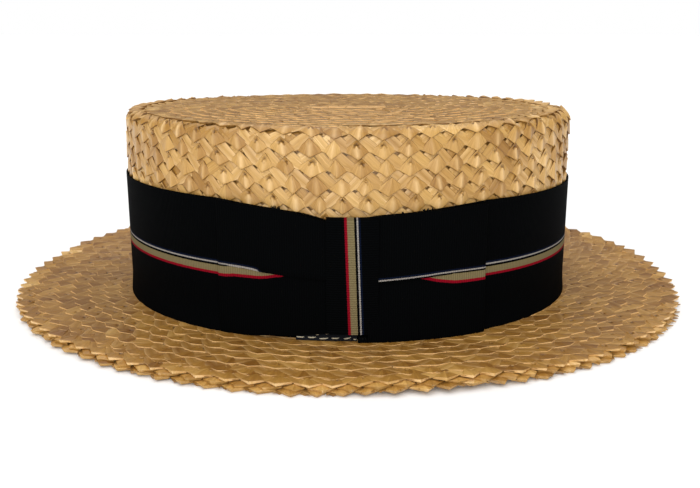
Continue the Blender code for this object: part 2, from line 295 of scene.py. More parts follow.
class Plait:
    """Gathers tiles of straw and makes one mesh of them."""

    def __init__(self):
        self.points, self.loops, self.totals = [], [], []
        self.tones, self.pools, self.fibres = [], [], []
        self.count = 0

    def add(self, tile, chosen, points, tone, pool, fibre):
        """points, fibre and the pooled varnish with its painted shade and highlight: cells by
        template
        points. tone: cells by 3 kinds.

        chosen says which cells are wanted, and fibre how far along and across the straw's
        fibres each point is, in mm.
        """
        points, tone, pool, fibre = (part[chosen] for part in (points, tone, pool, fibre))
        # A tile that a tight curve would crush flat or turn inside out is left out
        turned = np.zeros(len(points))
        for face in tile["faces"]:
            for k in range(1, len(face) - 1):
                a, b, c = (points[:, face[j]] - points[:, 0] for j in (0, k, k + 1))
                turned += np.einsum("ij,ij->i", a, np.cross(b, c))
        whole = turned > 0.15 * np.median(turned)
        cells, size = pool[whole].shape
        flat = np.concatenate(tile["faces"])
        start = self.count + np.arange(cells)[:, None] * size
        self.points.append(points[whole].reshape(-1, 3))
        self.loops.append((start + flat).ravel())
        self.totals.append(np.tile([len(face) for face in tile["faces"]], cells))
        self.tones.append(tone[whole][:, tile["kinds"]].ravel())
        self.pools.append(pool[whole].ravel())
        self.fibres.append(fibre[whole][:, flat].reshape(-1, 2))
        self.count += cells * size

    def object(self, name, material):
        points, tones, pools, fibres = (
            np.concatenate(parts).astype(np.float32)
            for parts in (self.points, self.tones, self.pools, self.fibres))
        loops, totals = (np.concatenate(parts).astype(np.int32)
                         for parts in (self.loops, self.totals))
        mesh = bpy.data.meshes.new(name)
        mesh.vertices.add(len(points))
        mesh.vertices.foreach_set("co", points.ravel())
        mesh.loops.add(len(loops))
        mesh.loops.foreach_set("vertex_index", loops)
        mesh.polygons.add(len(totals))
        starts = (np.cumsum(totals) - totals).astype(np.int32)
        mesh.polygons.foreach_set("loop_start", starts)
        mesh.update(calc_edges=True)
        for key, domain, values in (("tone", "FACE", tones), ("pool", "POINT", pools)):
            layer = mesh.attributes.new(key, "FLOAT", domain)
            layer.data.foreach_set("value", values)
        layer = mesh.uv_layers.new(name="fibres")
        layer.uv.foreach_set("vector", fibres.ravel())
        mesh.validate()
        return smooth_by_angle(add_piece(name, mesh, material), 16)


def select_alone(piece):
    bpy.ops.object.select_all(action="DESELECT")
    piece.select_set(True)
    bpy.context.view_layer.objects.active = piece


def add_piece(name, mesh, material):
    mesh.materials.append(material)
    piece = bpy.data.objects.new(name, mesh)
    bpy.context.scene.collection.objects.link(piece)
    select_alone(piece)
    return piece


def smooth_by_angle(piece, degrees):
    select_alone(piece)
    bpy.ops.object.shade_smooth_by_angle(angle=math.radians(degrees))
    piece.select_set(False)
    return piece


def tooth_joints(surface, line, span, random):
    """Turns at which one tooth of a row ends and the next begins."""
    spacing = bpy.context.scene.boater_sizes.tooth_spacing
    first, last = span
    samples = np.linspace(first, last, max(200, int(abs(last - first) * 900)))
    angle, distance = line(samples)
    points = surface(distance, angle, STRAW_RELIEF)
    run = np.append(0, np.cumsum(np.linalg.norm(np.diff(points, axis=0), axis=1)))
    count = max(3, round(run[-1] / spacing))
    marks = np.arange(count + 1.0)
    marks[1:-1] += random.uniform(-0.14, 0.14, count - 1)
    return np.interp(marks / count * run[-1], run, samples)


# How each part's rows are pressed, cut and varnished, and how light and shade are painted on
# them. height is the share of the full relief that is left. edge_shade_and_sheen is how dark the
# pooled varnish and painted shade round each straw are, or below nought how pale the painted
# highlight on its edges is, and ridge_sheen how pale the painted highlight on the raised parts of
# its folds is. edge_painted_light and face_painted_light are how pale or dark its edges and its
# faces are painted, as painted light and shade, and mottle how much the cells differ in tone.
# depth is how far the points stand out, crease how high the folds stand, plump how round they are
# in mm, thick the folded straw in mm, tuck how far its edge is rolled under, and uneven how much
# the cells differ in shape.
SIDE_ROWS = {"edge_shade_and_sheen": 0.85, "edge_painted_light": -0.1, "face_painted_light": 0.05, "thick": 0.8,
             "mottle": 0.13, "ridge_sheen": 0.8}
SHOULDER_ROW = {"height": 0.75, "edge_shade_and_sheen": 0.85, "edge_painted_light": -0.1, "crease": 0.6,
                "thick": 1.0, "uneven": 0.7, "ridge_sheen": 0.8}
TIP_ROWS = {"height": 0.6, "edge_shade_and_sheen": -0.5, "mottle": 0.09, "edge_painted_light": 0.55,
            "face_painted_light": -0.12, "depth": 0.75, "crease": 0.55, "tuck": 0.0, "uneven": 0.7}
BRIM_ROWS = {"height": 0.6, "edge_shade_and_sheen": -0.55, "mottle": 0.09, "edge_painted_light": 0.55,
             "face_painted_light": -0.27, "depth": 0.68, "crease": 0.35, "thick": 0.62, "tuck": 0.0,
             "uneven": 0.6}
PRESSED_ROWS = {"fine": False, "edge_shade_and_sheen": 0.7}
EDGE_ROW = {"height": 0.7, "edge_shade_and_sheen": -0.3, "edge_painted_light": 0.45, "face_painted_light": -0.15,
            "crease": 0.7, "thick": 0.75, "plump": 0.25, "tuck": 0.05}
EDGE_LAYER = {"straps": False, "edge_shade_and_sheen": 0.3, "edge_painted_light": 0.25, "crease": 0.9,
              "thick": 0.95, "plump": 0.5, "tuck": 0.09, "uneven": 2.2}


def lay_rows(plait, surface, line, span, facing, seed, height=1.0, fine=True, straps=True,
             edge_shade_and_sheen=0.85, edge_painted_light=-0.05, face_painted_light=0.0, depth=1.0, crease=1.0, thick=0.5,
             plump=0.1, tuck=0.03, uneven=1.0, mottle=0.15, ridge_sheen=0.0, innermost=0.0,
             reach=None, keep=None):
    """Lay a row of plait, cell by cell, along a line over a surface.

    Each cell is a straw folded to a point, and two straws that cross behind it.
    facing is 1 where the points lie outwards or down, and -1 where they lie inwards or up.
    reach is how much a cell is drawn together, innermost how far in its straws may go, and
    keep chooses the cells that are wanted.
    """
    sizes = bpy.context.scene.boater_sizes
    random = np.random.RandomState(seed)
    joints = tooth_joints(surface, line, span, random)
    cells = len(joints) - 1
    if reach is None:
        room = line(joints[:-1])[1] - innermost - 1.2 * MM
        reach = np.clip(room / CELL_REACH, 0.12, 1.0) if facing > 0 else 1.0
    reach = reach * np.ones(cells)

    def jitter(amount):
        return random.uniform(-amount, amount, cells)

    def lapped(b):
        # A row dips where the next one laps it
        dive = smooth_step(0, 1, (-6.5 * MM - b) / (3.5 * MM))
        return sizes.lap * (1 + b / CELL_REACH) - 0.28 * MM * dive

    def place(a, b, h):
        angle, distance = line(joints[:-1, None] + a * np.diff(joints)[:, None])
        return surface(distance + facing * b * reach[:, None], angle, h * height)

    chosen = np.ones(cells, bool)
    if keep is not None:
        chosen = keep(*line(joints[:-1]))
    # The faces are painted paler or darker per part as painted light and shade: paler on the crown's
    # side as its sheen, darker on the brim, its edge and the tip
    cell_tone = random.normal(0.5 + face_painted_light, mottle, cells)

    # The folded straw, a kite whose lower point makes the sawtooth edge
    steps = FINE_STEPS if fine else PLAIN_STEPS
    tile = grid_tile(steps, steps, True, tuck)
    p, q, under = tile["p"], tile["q"], tile["under"]
    w_top, w_right, w_low, w_left = (1 - p) * (1 - q), p * (1 - q), p * q, (1 - p) * q

    def mix(top, right, low, left):
        return (top[:, None] * w_top + right[:, None] * w_right
                + low[:, None] * w_low + left[:, None] * w_left)

    notch = -sizes.tooth_depth * depth
    lean = jitter(0.06)
    a = mix(0.5 + jitter(0.07) - lean, 1.0 + jitter(0.03), 0.5 + jitter(0.07) * uneven + lean,
            0.0 + jitter(0.03))
    b = mix(-sizes.fold_height + jitter(0.5 * MM), notch + jitter(0.35 * MM),
            jitter(0.35 * MM) * uneven, notch + jitter(0.35 * MM))
    rim = mix(*(0.60 * MM + jitter(0.12 * MM) * uneven for _ in range(4)))
    fold = (sizes.crease * crease * (1 + jitter(0.45)))[:, None] * (1 - np.abs(p - q))
    fold += plump * MM * 16 * p * (1 - p) * q * (1 - q)
    border = ((np.minimum(p, q) < 0.001) | (np.maximum(p, q) > 0.999)) & ~under
    fold = np.where(border, fold - (0.13 + 0.4 * (plump - 0.1)) * MM, fold)
    h = rim + lapped(b) + np.where(under, -thick * MM / height, fold)
    # Painted shade with pooled varnish darkens the fold's rim, walls and underside; a setting below
    # nought paints them pale as a highlight instead
    pool = np.where(border, 0.75 * edge_shade_and_sheen, 0.0) + np.where(under, edge_shade_and_sheen, 0.0)
    pool = pool * random.uniform(0.6, 1.2, (cells, 1))
    # A painted highlight: the crease and the shoulders of a fold are painted pale
    ridge = np.clip(1 - np.abs(p - q) / 0.3, 0, 1) * smooth_step(0.3, 0.6, p + q)
    raised = np.where(border | under, 0.0, ridge * smooth_step(1.9, 1.5, p + q))
    pool = pool - ridge_sheen * raised * random.uniform(0.0, 1.0, (cells, 1))
    if fine:
        # The stitch that holds a straw down pinches it: a slit with a raised lip below, the slit
        # painted dark as shade
        side = tile["columns"]
        rows = np.flatnonzero(random.rand(cells) < PINCHED)
        apex = 2 * side + 2
        for spot, least, most in ((apex, 0.5, 1.1), (apex + 1, 0.0, 1.0),
                                  (apex + side, 0.0, 1.0)):
            deep = random.uniform(least, most, len(rows))
            h[rows, spot] -= deep * MM
            pool[rows, spot] = np.clip(deep * 1.2, 0, 1)
        h[rows, apex + side + 1] += random.uniform(0.10, 0.35, len(rows)) * MM
        b[rows, apex + side + 1] -= 0.45 * MM
        h[rows, apex + side + 2] -= 0.15 * MM
        h[rows, apex + 2 * side + 1] -= 0.15 * MM
    # Painted light: a fold's left face is a little paler than its right, and its walls are painted
    # pale as a highlight on the brim and tip and dark as shade on the crown's side
    tone = np.stack([cell_tone - 0.02 + jitter(0.10), cell_tone + 0.05 + jitter(0.10),
                     0.5 + edge_painted_light + jitter(0.1)], axis=1)
    offset = random.uniform(0, 90, (cells, 1, 2))
    # The fibres fan out from the fold's top
    fibre = np.stack([3.7 * (p + q), 6.3 * (q - p) / (p + q + 0.35)], axis=-1) + offset
    plait.add(tile, chosen, place(a, b, h), tone, pool, fibre)

    if not straps:
        return
    # The two straws that cross behind the folds
    tile = grid_tile(STRAP_STEPS if fine else (0.0, 1.0), STRAP_SIDES, False)
    p, q, under = tile["p"], tile["q"], tile["under"]
    hand = np.where(random.rand(cells) < 0.8, 1.0, -1.0)
    slope = (sizes.fold_height - sizes.tooth_depth) / 0.5
    middle = -(sizes.tooth_depth + sizes.row_pitch) / 2
    for level, turned, half in ((0.55 * MM, hand, 3.0 * MM), (0.28 * MM, -hand, 3.3 * MM)):
        run = -0.78 + 1.06 * p + jitter(0.03)[:, None]
        half = (half + jitter(0.15 * MM))[:, None]
        a = turned[:, None] * run
        b = middle + slope * run + turned[:, None] * half * (2 * q - 1)
        # Their lower ends stay hidden behind the folds
        b = np.minimum(b, notch * (1 - 2 * np.abs(a)) - 0.3 * MM)
        arch = 0.24 * MM * (1 - (2 * q - 1) ** 2) + 0.15 * MM * (1 - (2 * p - 1) ** 2)
        tilt = jitter(0.10 * MM)[:, None] * (2 * q - 1) + jitter(0.08 * MM)[:, None] * (2 * p - 1)
        h = level + lapped(b) + np.where(under, -0.35 * MM / height, arch + tilt)
        # Painted shade darkens the straws' sides; a setting below nought paints them pale as a
        # highlight
        pool = 0.75 * edge_shade_and_sheen * (2 * q - 1) ** 6 + np.zeros((cells, 1))
        if edge_shade_and_sheen > 0:
            # A painted highlight along their raised sides
            sides = (np.abs(q - 0.08) < 0.01) | (np.abs(q - 0.92) < 0.01)
            pool = pool - sides * random.uniform(0.0, 0.9, (cells, 1)) * (1 - under)
        strap_tone = cell_tone + 0.05 + jitter(0.14)
        tone = np.repeat(strap_tone[:, None], 3, axis=1)
        offset = random.uniform(0, 90, (cells, 1, 2))
        fibre = np.stack([p * 11.0, q * 5.6], axis=-1) + offset
        plait.add(tile, chosen, place(a, b, h), tone, pool, fibre)


def oval_wall(name, section, material):
    """A closed wall of the crown or brim, extruded ring by ring along its section.

    The section's points are (radius, height), and each ring is as much longer than it is wide
    as the hat is.
    """
    bpy.ops.object.select_all(action="DESELECT")
    radius, rise = section[0]
    bpy.ops.mesh.primitive_circle_add(vertices=192, radius=1.0, location=(0, 0, rise))
    piece = bpy.context.object
    piece.name = name
    piece.data.name = name
    bpy.ops.object.mode_set(mode="EDIT")
    bpy.ops.transform.resize(value=(radius + OVAL_STRETCH, radius, 1),
                             center_override=(0, 0, 0))
    for next_radius, next_rise in [*section[1:], section[0]]:
        bpy.ops.mesh.extrude_edges_move(
            TRANSFORM_OT_translate={"value": (0, 0, next_rise - rise)})
        bpy.ops.transform.resize(value=((next_radius + OVAL_STRETCH) / (radius + OVAL_STRETCH),
                                        next_radius / radius, 1), center_override=(0, 0, 0))
        radius, rise = next_radius, next_rise
    bpy.ops.mesh.select_all(action="SELECT")
    bpy.ops.mesh.remove_doubles(threshold=0.001 * MM)
    bpy.ops.mesh.normals_make_consistent(inside=False)
    bpy.ops.object.mode_set(mode="OBJECT")
    bpy.ops.object.transform_apply(location=True, rotation=True, scale=True)
    for vertex in piece.data.vertices:
        place = vertex.co
        angle = math.atan2(place.y, place.x)
        radius = math.hypot(place.x, place.y) - OVAL_STRETCH * abs(math.cos(angle))
        place.z += float(brim_lift(radius, np.array(angle)))
    piece.data.materials.append(material)
    tone = piece.data.attributes.new("tone", "FLOAT", "FACE")
    tone.data.foreach_set("value", np.full(len(piece.data.polygons), 0.3, np.float32))
    return smooth_by_angle(piece, 40)


# Materials

def fill(tree, made, inputs):
    """Give a node's inputs values or links. A node stands for its first output."""
    for key, value in inputs.items():
        if isinstance(value, bpy.types.Node):
            value = value.outputs[0]
        if isinstance(value, bpy.types.NodeSocket):
            tree.links.new(value, made.inputs[key])
        else:
            made.inputs[key].default_value = value


def node(tree, kind, inputs=None, stops=(), **settings):
    """Add a node with its settings and inputs, and give a ramp its stops."""
    made = tree.nodes.new("ShaderNode" + kind)
    for key, value in settings.items():
        setattr(made, key, value)
    fill(tree, made, inputs or {})
    for k, (position, shade) in enumerate(stops):
        elements = made.color_ramp.elements
        element = elements[k] if k < len(elements) else elements.new(position)
        element.position = position
        element.color = (*shade, 1.0)
    return made


def new_material(name):
    made = bpy.data.materials.get(name)
    if made:
        return made, None, None
    made = bpy.data.materials.new(name)
    made.use_nodes = True
    return made, made.node_tree, made.node_tree.nodes["Principled BSDF"]


def varnished_straw():
    """Flattened wheat straw under shellac: fine fibres along each straw, a low gloss."""
    made, tree, shader = new_material("varnished wheat straw")
    if tree is None:
        return made
    colours = bpy.context.scene.boater_colours
    fibres = node(tree, "UVMap", uv_map="fibres")
    tone = node(tree, "Attribute", attribute_name="tone").outputs["Fac"]
    pool = node(tree, "Attribute", attribute_name="pool").outputs["Fac"]
    place = node(tree, "TexCoord").outputs["Object"]
    # Fibres are about 0.4 mm apart, and run on for 8 mm before they fade
    fine = node(tree, "Mapping", {"Vector": fibres, "Scale": (0.12, 2.4, 1.0)})
    threads = node(tree, "TexNoise", {"Vector": fine, "Scale": 1.0, "Detail": 3.0,
                                      "Roughness": 0.6})
    # Each straw also has a few broader bands, about 1.2 mm apart
    wide = node(tree, "Mapping", {"Vector": fibres, "Scale": (0.05, 0.8, 1.0)})
    bands = node(tree, "TexNoise", {"Vector": wide, "Scale": 1.0})
    streaks = node(tree, "Mix", {"Factor": 0.45, "A": threads, "B": bands})
    # Patches of the hat, about 20 mm across, are darker than the rest
    broad = node(tree, "TexNoise", {"Vector": place, "Scale": 45.0, "Detail": 2.0})
    mixed = node(tree, "Math", {0: streaks, 1: 1.1, 2: tone}, operation="MULTIPLY_ADD")
    blotched = node(tree, "Math", {0: broad, 1: 0.35, 2: mixed}, operation="MULTIPLY_ADD")
    level = node(tree, "MapRange", {"Value": blotched, "From Min": 0.72, "From Max": 1.72})
    # Its palest stop is the painted highlight's colour, which the walls painted pale reach
    shade = node(tree, "ValToRGB", {"Fac": level}, stops=[
        (0.0, colours.straw_brown), (0.45, colours.straw_gold), (0.85, colours.straw_pale),
        (1.0, colours.straw_sheen)])
    # Above nought the attribute is pooled varnish with painted shade, and below it a painted
    # highlight on edges and ridges
    sheen_share = node(tree, "Math", {0: pool, 1: -1.0}, operation="MULTIPLY", use_clamp=True)
    highlighted = node(tree, "Mix", {0: sheen_share, 6: shade, 7: (*colours.straw_sheen, 1.0)},
                    data_type="RGBA")
    # Pooled varnish and painted shade darken the colour where the attribute is above nought
    gathered_and_shaded = node(tree, "Math", {0: pool, 1: 0.8}, operation="MULTIPLY", use_clamp=True)
    darkened = node(tree, "Mix", {0: gathered_and_shaded, 6: highlighted.outputs[2],
                                 7: (*colours.varnish_and_shade, 1.0)}, data_type="RGBA")
    rough = node(tree, "MapRange", {"Value": streaks, "To Min": 0.26, "To Max": 0.52})
    relief = node(tree, "Bump", {"Height": threads, "Strength": 0.6, "Distance": 0.25 * MM})
    fill(tree, shader, {"Base Color": darkened.outputs[2], "Roughness": rough,
                        "Normal": relief, "IOR": 1.5, "Specular Tint": (1.0, 0.97, 0.92, 1.0),
                        "Coat Weight": 0.15, "Coat Roughness": 0.18})
    return made


def grosgrain():
    """Ribbed viscose ribbon, matt black with a woven white, tan and red stripe."""
    made, tree, shader = new_material("black grosgrain ribbon")
    if tree is None:
        return made
    colours = bpy.context.scene.boater_colours
    # The map is in centimetres: along the ribbon, and across it from its lower edge
    cloth = node(tree, "UVMap", uv_map="ribbon")
    along, across, _ = node(tree, "SeparateXYZ", {"Vector": cloth}).outputs
    fuzz = node(tree, "TexNoise", {"Vector": cloth, "Scale": 14.0, "Detail": 2.0})
    wander = node(tree, "Math", {0: fuzz, 1: 0.02, 2: across}, operation="MULTIPLY_ADD")
    level = node(tree, "MapRange", {"Value": wander, "From Min": 2.00, "From Max": 2.70})
    black = colours.ribbon_black
    stripe = node(tree, "ValToRGB", {"Fac": level}, stops=[
        (0.0, black), (0.145, colours.stripe_red), (0.293, colours.stripe_tan),
        (0.67, black), (0.80, colours.stripe_white), (0.885, colours.stripe_navy),
        (0.999, black)])
    stripe.color_ramp.interpolation = "CONSTANT"
    per_centimetre = 10 * MM / bpy.context.scene.boater_sizes.rib
    ribs = node(tree, "Math", {0: along, 1: 2 * math.pi * per_centimetre},
                operation="MULTIPLY")
    wave = node(tree, "Math", {0: ribs}, operation="SINE")
    share = node(tree, "MapRange", {"Value": wave, "From Min": -1.0, "To Min": 0.72})
    # Painted shade: the stripe's colour is darkened in the grooves between the ribs
    shaded = node(tree, "VectorMath", {0: stripe, "Scale": share}, operation="SCALE")
    relief = node(tree, "Bump", {"Height": wave, "Strength": 0.5, "Distance": 0.12 * MM})
    fill(tree, shader, {"Base Color": shaded, "Normal": relief, "Roughness": 0.72,
                        "Specular IOR Level": 0.01})
    return made


def plain_cloth(name, shade):
    """Plain woven cotton, matt, its threads about half a millimetre apart."""
    made, tree, shader = new_material(name)
    if tree is None:
        return made
    place = node(tree, "TexCoord").outputs["Object"]
    weave = node(tree, "TexNoise", {"Vector": place, "Scale": 1800.0, "Detail": 2.0})
    tint = node(tree, "ValToRGB", {"Fac": weave}, stops=[
        (0.3, [c * 0.7 for c in shade]), (0.7, shade)])
    fill(tree, shader, {"Base Color": tint, "Roughness": 0.8, "Specular IOR Level": 0.1})
    return made


def dress(piece, slot, *nodes):
    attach(piece, "root")
    if nodes:
        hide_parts(*nodes)
    return piece


# Operators

class HAT_OT_crown(bpy.types.Operator):
    """Sew the crown: its straw wall, the spiral of plait outside, and the plait inside"""
    bl_idname = "hat.crown"
    bl_label = "Sew the crown"

    def execute(self, context):
        straw = varnished_straw()
        # The distance over the crown at which its side reaches the table
        floor = CROWN_RADIUS - SHOULDER + SHOULDER * math.pi / 2 + CROWN_TOP - SHOULDER
        limit = floor - PLAIT_END + CELL_REACH
        tip = Plait()
        lay_rows(tip, crown_outside, crown_line, (-11.9, -1.0), 1, 11, **TIP_ROWS)
        lay_rows(tip, crown_outside, crown_line, (-1.0, 0.0), 1, 14, **SHOULDER_ROW)
        for side, seed in ((1, 15), (-1, 16)):
            def flat(distance, along, height, side=side):
                return points_at(side * along, -side * distance,
                                 CROWN_TOP - STRAW_RELIEF + 0.35 * MM + height)

            def start_line(turns, side=side):
                return START_RUN * (turns - 0.5), (4.6 - 1.2 * side) * MM + 0 * turns
            lay_rows(tip, flat, start_line, (0.0, 1.0), 1, seed, reach=0.6, straps=False,
                     **TIP_ROWS)
        dress(tip.object("crown_tip_plait", straw), "varnished_straw")
        side = Plait()
        lay_rows(side, crown_outside, crown_line, (0.0, 6.6), 1, 12,
                 keep=lambda angle, distance: distance < limit, **SIDE_ROWS)
        dress(side.object("crown_side_plait", straw), "varnished_straw")
        inside = Plait()
        lay_rows(inside, crown_inside, inside_line, (-11.6, 12.1), -1, 13, height=0.5,
                 keep=lambda angle, distance: ((distance > 7 * MM)
                                               & (distance < floor - 13 * MM)),
                 **PRESSED_ROWS)
        dress(inside.object("crown_inner_plait", straw), "varnished_straw")

        def rounded(depth, turns):
            reach = SHOULDER - depth
            return [(CROWN_RADIUS - SHOULDER + reach * math.cos(math.radians(turn)),
                     CROWN_TOP - SHOULDER + reach * math.sin(math.radians(turn)))
                    for turn in turns]
        centre = 0.05 * MM
        relief = STRAW_RELIEF + 0.5 * MM
        outer = CROWN_RADIUS - 0.2 * MM
        foot = 1.2 * MM
        section = [(centre, CROWN_TOP - relief), *rounded(relief, (90, 60, 30, 0)),
                   (CROWN_RADIUS - relief, WALL_BREAK), (outer, WALL_BREAK - 2 * MM),
                   (outer, foot), (CROWN_RADIUS - CROWN_CORE, foot),
                   *rounded(CROWN_CORE, (0, 45, 90)), (centre, CROWN_TOP - CROWN_CORE)]
        wall = oval_wall("crown_straw_wall", section, straw)
        dress(wall, "varnished_straw", "crown")
        return {"FINISHED"}


class HAT_OT_brim(bpy.types.Operator):
    """Sew the brim: its straw board, the spiral of plait above, and the plait below"""
    bl_idname = "hat.brim"
    bl_label = "Sew the brim"

    def execute(self, context):
        straw = varnished_straw()
        above = Plait()
        lay_rows(above, brim_above, ring_line(LAST_ROW), (0.0, 1.0), 1, 21, **BRIM_ROWS)
        lay_rows(above, lambda s, a, h: brim_above(s, a, h + 0.1 * MM), spiral_line(BRIM_START),
                 (-1.3, 5.1), 1, 22, innermost=HEAD_HOLE, **BRIM_ROWS)
        dress(above.object("brim_upper_plait", straw), "varnished_straw")
        below = Plait()
        lay_rows(below, brim_below, spiral_line(UNDER_START), (-0.4, 5.2), -1, 23, height=0.42,
                 **PRESSED_ROWS)
        dress(below.object("brim_lower_plait", straw), "varnished_straw")
        inner = CROWN_RADIUS - CROWN_CORE
        under = INSIDE_RELIEF - 0.15 * MM
        section = [(inner, 0.68 * MM),
                   *((ring * MM, brim_rise(ring * MM) - 0.1 * MM)
                     for ring in (95, 104, 113, 122, 131, 135)),
                   (135 * MM, under), (inner, under)]
        board = oval_wall("brim_straw_board", section, straw)
        dress(board, "varnished_straw", "brim")
        return {"FINISHED"}


class HAT_OT_brim_edge(bpy.types.Operator):
    """Stack the layers of sawtooth plait that make the brim's edge"""
    bl_idname = "hat.brim_edge"
    bl_label = "Stack the brim's edge"

    def execute(self, context):
        straw = varnished_straw()
        edge = Plait()
        half = math.pi / 98     # half a tooth round the brim's edge
        lay_rows(edge, brim_above, ring_line(BRIM_RADIUS, 0.0, 1.7 * MM), (0.0, 1.0), 1, 31,
                 **EDGE_ROW)
        lay_rows(edge, brim_layer(1.15 * MM), ring_line(BRIM_RADIUS - 0.3 * MM, half, 0.7 * MM),
                 (0.0, 1.0), 1, 32, height=0.75, **EDGE_LAYER)
        lay_rows(edge, brim_layer(0.45 * MM), ring_line(BRIM_RADIUS, half / 2),
                 (0.0, 1.0), 1, 33, height=0.5, **EDGE_LAYER)
        lay_rows(edge, brim_below, ring_line(BRIM_RADIUS - 1.3 * MM), (1.0, 0.0), 1, 34,
                 height=0.42, **PRESSED_ROWS)
        dress(edge.object("brim_sawtooth_edge", straw), "varnished_straw", "brim_edge")
        return {"FINISHED"}


def cloth_grid(name, points, across, along, material, thick):
    """A ribbon surface from a grid of points, its map in centimetres, thickened."""
    columns, rows = points.shape[:2]
    number = np.arange(columns * rows).reshape(columns, rows)
    faces = np.stack([number[:-1, :-1], number[1:, :-1], number[1:, 1:], number[:-1, 1:]],
                     axis=-1).reshape(-1, 4)
    mesh = bpy.data.meshes.new(name)
    mesh.from_pydata(points.reshape(-1, 3).tolist(), [], faces.tolist())
    layer = mesh.uv_layers.new(name="ribbon")
    flat = points_at(along, across, 0)[..., :2].reshape(-1, 2) / (10 * MM)
    layer.uv.foreach_set("vector", flat[faces.ravel()].astype(np.float32).ravel())
    piece = add_piece(name, mesh, material)
    wall = piece.modifiers.new("Ply", "SOLIDIFY")
    wall.thickness = thick
    wall.offset = 0.0
    bpy.ops.object.modifier_apply(modifier=wall.name)
    return smooth_by_angle(piece, 35)


class HAT_OT_band(bpy.types.Operator):
    """Wrap the grosgrain band round the crown"""
    bl_idname = "hat.band"
    bl_label = "Wrap the band"

    def execute(self, context):
        turn = np.linspace(0, 2 * math.pi, 361)[:, None] + math.pi / 2
        share = np.linspace(0, 1, 15)[None, :]
        radius = BAND_RADIUS - 0.3 * MM + 0.12 * MM * np.sin(5 * turn) * share
        x, y = oval_point(radius, turn)
        near = np.clip(1 - np.abs(x - BOW_MIDDLE) / WING_LENGTH, 0, 1) * (y < 0)
        # Beside the bow its lower edge stands out a little over the brim
        flare = 2.8 * np.clip(-np.sin(turn), 0, 1) * smooth_step(0.1, 0.0, near) * MM
        x, y = oval_point(radius + flare * smooth_step(0.14, 0.0, share), turn)
        # It sits a little askew, higher on the left, and the knot's stitches draw it down
        head = BAND_HIGH.z + 0.1 * MM - 0.012 * x - 5.4 * MM * near
        head = head - 2.2 * MM * smooth_step(0.6, 0.95, near)
        rise = RIBBON_FOOT + (head - RIBBON_FOOT) * share
        points = points_at(x, y, rise)
        run = np.linalg.norm(np.diff(points[:, 0], axis=0), axis=1)
        along = np.append(0, np.cumsum(run))[:, None]
        across = rise - BAND_LOW.z - 0.35 * MM + 0.0115 * x
        band = cloth_grid("grosgrain_band", points, across, along, grosgrain(),
                          context.scene.boater_sizes.ribbon)
        dress(band, "black_grosgrain", "ribbon_band")
        return {"FINISHED"}


# Each loop's pleat, in mm: the place along the loop from the knot, how deep the pleat is tucked
# there, how high its folded edge lies, and where on the ribbon's width that edge is.
LEFT_PLEAT = ((8.0, 3.9, 26.0, 28.0), (25.0, 3.55, 27.1, 28.0), (27.2, 3.0, 27.45, 28.0),
              (29.3, 2.7, 27.7, 27.8), (32.6, 2.0, 28.0, 27.3), (34.5, 1.6, 28.1, 26.9),
              (36.5, 0.8, 28.3, 25.6), (38.7, 0.63, 28.55, 25.45), (42.3, 0.5, 28.9, 25.45),
              (46.0, 0.42, 29.05, 25.45), (49.6, 0.12, 29.15, 25.45), (60.0, 0.1, 29.3, 25.45))
RIGHT_PLEAT = ((8.0, 3.1, 24.8, 24.2), (22.2, 2.2, 25.7, 24.2), (27.5, 1.6, 26.1, 24.2),
               (33.0, 0.8, 26.4, 24.2), (40.0, 0.15, 26.5, 24.2), (44.0, 0.1, 26.5, 24.2),
               (60.0, 0.1, 26.5, 24.2))
# The rows of a loop's grid at which its section turns: the top edge, three round the folded
# edge, two round the tuck behind it, one below the pleat, and the lower edge.
PLEAT_ROWS = (0, 14, 15, 16, 19, 20, 23, 32)


